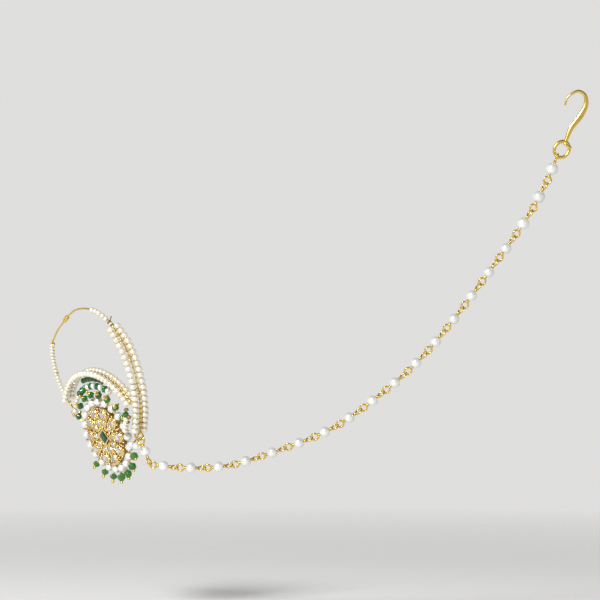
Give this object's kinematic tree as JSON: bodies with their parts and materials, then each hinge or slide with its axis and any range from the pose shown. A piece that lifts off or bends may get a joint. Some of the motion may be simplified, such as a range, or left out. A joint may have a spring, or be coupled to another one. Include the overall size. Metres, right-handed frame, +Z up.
{
  "type": "nose ring",
  "caption": "Bridal nose ring: a pearl-strung gold hoop with a stone-set flower, a green bead fringe and a pearl crescent, and a pearl chain that ends in a hair hook.",
  "frame": {"origin": "where the hoop's wire goes through the nostril, on the wire's middle line", "axes": "+X runs back along the cheek toward the ear, +Z is up, and -Y faces out from the cheek toward whoever looks at the jewel"},
  "size_m": [0.2023, 0.0667, 0.1461],
  "materials": {
    "gold": "polished gold plate",
    "setting": "granulated gold set with clear stones",
    "cream_pearl": "cream seed pearl",
    "white_pearl": "white pearl lustre",
    "chain": "white pearls on gold wire",
    "green_glass": "polished translucent green",
    "deep_green_stone": "faceted deep green"
  },
  "bodies": {
    "root": {"hoop_wire": "gold", "top_pearl_string": "cream_pearl", "top_binding": "gold", "back_pearl_strand": "cream_pearl", "front_pearl_strand": "cream_pearl", "far_pearl_strand": "cream_pearl", "flower_setting": "setting", "centre_stone": "deep_green_stone", "ring_pearl_01": "white_pearl", "ring_pearl_02": "white_pearl", "ring_pearl_03": "white_pearl", "ring_pearl_04": "white_pearl", "ring_pearl_05": "white_pearl", "ring_pearl_06": "white_pearl", "ring_pearl_07": "white_pearl", "ring_pearl_08": "white_pearl", "ring_pearl_09": "white_pearl", "ring_pearl_10": "white_pearl", "ring_pearl_11": "white_pearl", "ring_pearl_12": "white_pearl", "ring_pearl_13": "white_pearl", "ring_pearl_14": "white_pearl", "ring_pearl_15": "white_pearl", "ring_pearl_16": "white_pearl", "ring_pearl_17": "white_pearl", "ring_pearl_18": "white_pearl", "ring_pearl_19": "white_pearl", "ring_pearl_20": "white_pearl", "corner_pearl_1": "white_pearl", "corner_pearl_2": "white_pearl", "green_drop_01": "green_glass", "green_drop_02": "green_glass", "green_drop_03": "green_glass", "green_drop_04": "green_glass", "green_drop_05": "green_glass", "green_drop_06": "green_glass", "green_drop_07": "green_glass", "green_drop_08": "green_glass", "green_drop_09": "green_glass", "green_drop_10": "green_glass", "green_drop_11": "green_glass", "green_drop_12": "green_glass", "green_drop_13": "green_glass", "green_drop_14": "green_glass", "green_drop_15": "green_glass", "crescent_front_row": "cream_pearl", "crescent_back_row": "cream_pearl", "crescent_wire": "gold", "green_bead_row": "green_glass", "mixed_bead_row": "green_glass", "pearl_leg": "cream_pearl", "chain_start_ring": "gold", "pearl_chain": "chain", "hair_hook": "gold"}
  },
  "joints": []
}
